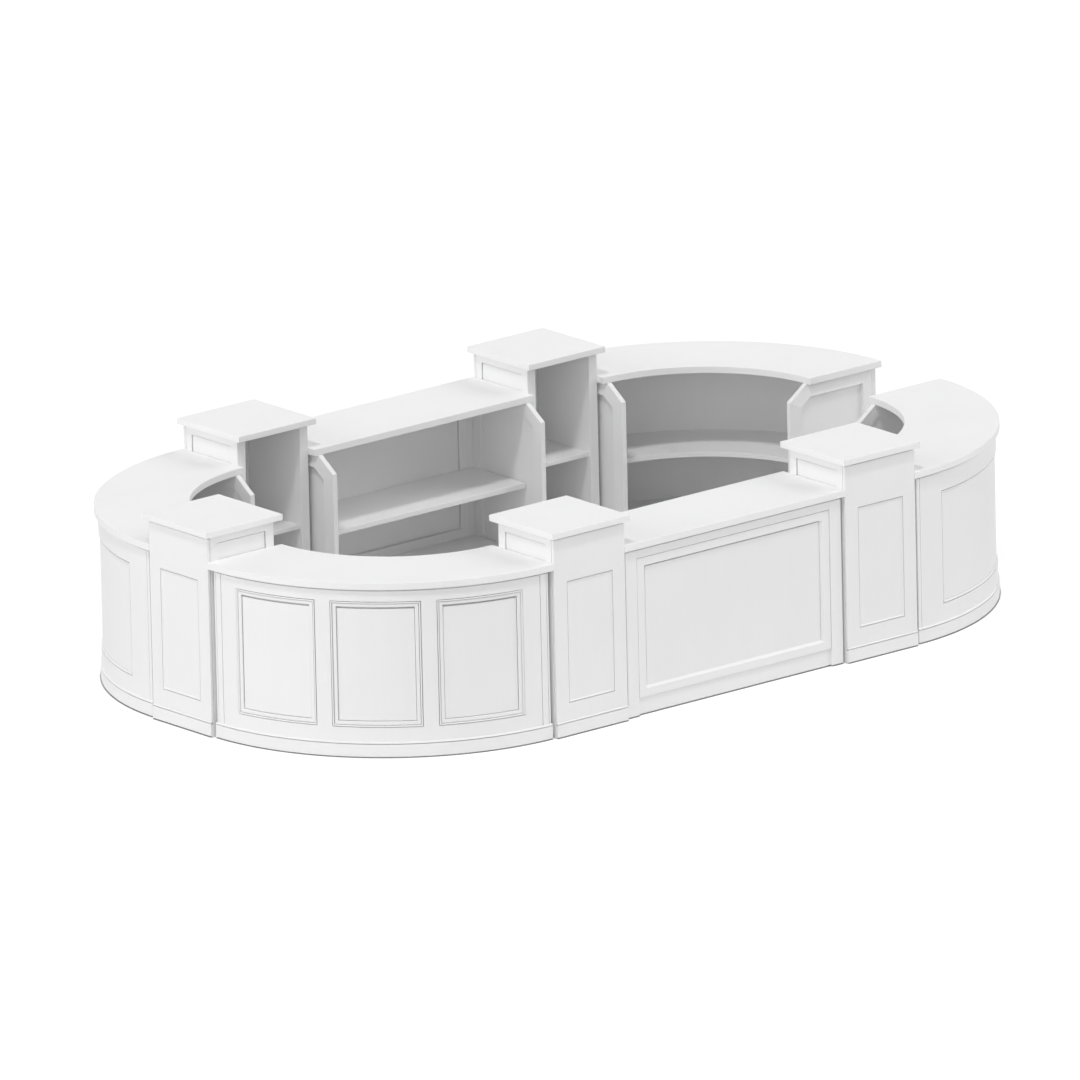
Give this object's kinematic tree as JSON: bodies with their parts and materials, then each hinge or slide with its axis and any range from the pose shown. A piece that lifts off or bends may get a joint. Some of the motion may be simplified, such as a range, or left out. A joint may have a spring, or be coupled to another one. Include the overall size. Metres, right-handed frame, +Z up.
{
  "type": "bar counter with shelves",
  "caption": "White panelled island bar of square pillars, straight bars and quarter-round bars, open with shelves on the working side, with a gap to walk in at one end.",
  "frame": {"origin": "on the floor, in the middle of the outline of the whole island", "axes": "+X along the island, towards the open end where the staff walk in; +Y across it, towards the back bar; +Z up. The public side faces outwards all round."},
  "size_m": [5.686, 3.468, 1.256],
  "materials": {
    "white_paint_tops": "satin white paint on board, tops and caps",
    "white_paint_public": "satin white paint on board, bodies, frames and plinths",
    "white_paint_panels": "satin white paint on thin board, infill panels",
    "white_paint_inside": "satin white paint on board, shelves and inside boards"
  },
  "bodies": {
    "root": {"back_left_pillar_cap": "white_paint_tops", "back_left_pillar_face": "white_paint_public", "back_left_pillar_sides": "white_paint_public", "back_left_pillar_shelves": "white_paint_inside", "back_left_pillar_plinth": "white_paint_public", "tip_pillar_cap": "white_paint_tops", "tip_pillar_face": "white_paint_public", "tip_pillar_sides": "white_paint_public", "tip_pillar_shelves": "white_paint_inside", "tip_pillar_plinth": "white_paint_public", "front_left_pillar_cap": "white_paint_tops", "front_left_pillar_face": "white_paint_public", "front_left_pillar_sides": "white_paint_public", "front_left_pillar_shelves": "white_paint_inside", "front_left_pillar_plinth": "white_paint_public", "front_right_pillar_cap": "white_paint_tops", "front_right_pillar_face": "white_paint_public", "front_right_pillar_sides": "white_paint_public", "front_right_pillar_shelves": "white_paint_inside", "front_right_pillar_plinth": "white_paint_public", "back_right_pillar_cap": "white_paint_tops", "back_right_pillar_face": "white_paint_public", "back_right_pillar_sides": "white_paint_public", "back_right_pillar_shelves": "white_paint_inside", "back_right_pillar_plinth": "white_paint_public", "front_bar_top": "white_paint_tops", "front_bar_frame": "white_paint_public", "front_bar_infills": "white_paint_panels", "front_bar_end_frames": "white_paint_public", "front_bar_shelves": "white_paint_inside", "back_bar_top": "white_paint_tops", "back_bar_frame": "white_paint_public", "back_bar_infills": "white_paint_panels", "back_bar_end_frames": "white_paint_public", "back_bar_shelves": "white_paint_inside", "back_left_curve_top": "white_paint_tops", "back_left_curve_front": "white_paint_public", "back_left_curve_plinth": "white_paint_public", "back_left_curve_end_frames": "white_paint_public", "back_left_curve_infills": "white_paint_panels", "back_left_curve_shelves": "white_paint_inside", "front_left_curve_top": "white_paint_tops", "front_left_curve_front": "white_paint_public", "front_left_curve_plinth": "white_paint_public", "front_left_curve_end_frames": "white_paint_public", "front_left_curve_infills": "white_paint_panels", "front_left_curve_shelves": "white_paint_inside", "front_right_curve_top": "white_paint_tops", "front_right_curve_front": "white_paint_public", "front_right_curve_plinth": "white_paint_public", "front_right_curve_end_frames": "white_paint_public", "front_right_curve_infills": "white_paint_panels", "front_right_curve_shelves": "white_paint_inside", "back_right_curve_top": "white_paint_tops", "back_right_curve_front": "white_paint_public", "back_right_curve_plinth": "white_paint_public", "back_right_curve_end_frames": "white_paint_public", "back_right_curve_infills": "white_paint_panels", "back_right_curve_shelves": "white_paint_inside"}
  },
  "joints": []
}
